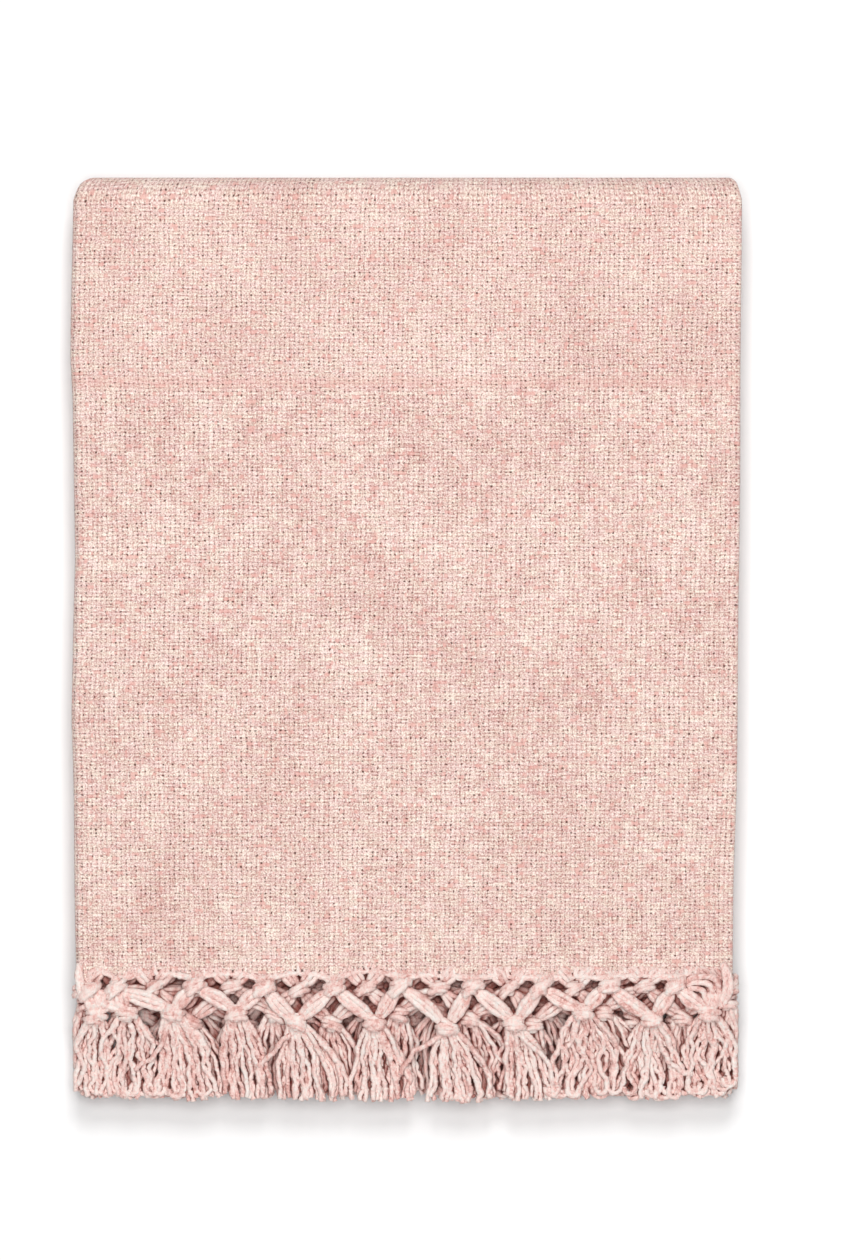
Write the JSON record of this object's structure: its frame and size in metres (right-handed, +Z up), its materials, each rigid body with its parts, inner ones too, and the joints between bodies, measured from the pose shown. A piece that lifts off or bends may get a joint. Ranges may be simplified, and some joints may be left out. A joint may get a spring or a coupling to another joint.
{
  "type": "folded tassel throw",
  "caption": "Woven chenille throw folded in half twice across and twice along, lying flat, with the knotted fringes of both ends laid out together at one end.",
  "frame": {"origin": "on the surface under the middle of the folded throw and its fringe", "axes": "+Z up, +Y from the fringe towards the long fold, +X to the right as seen from above with the fringe nearest"},
  "size_m": [0.3188, 0.4418, 0.0429],
  "materials": {
    "chenille_cloth": "plain-woven blush chenille with a soft mottled pile",
    "chenille_yarn": "soft blush chenille yarn, knotted"
  },
  "bodies": {
    "root": {"cloth": "chenille_cloth", "fringe_upper": "chenille_yarn", "fringe_lower": "chenille_yarn"}
  },
  "joints": []
}
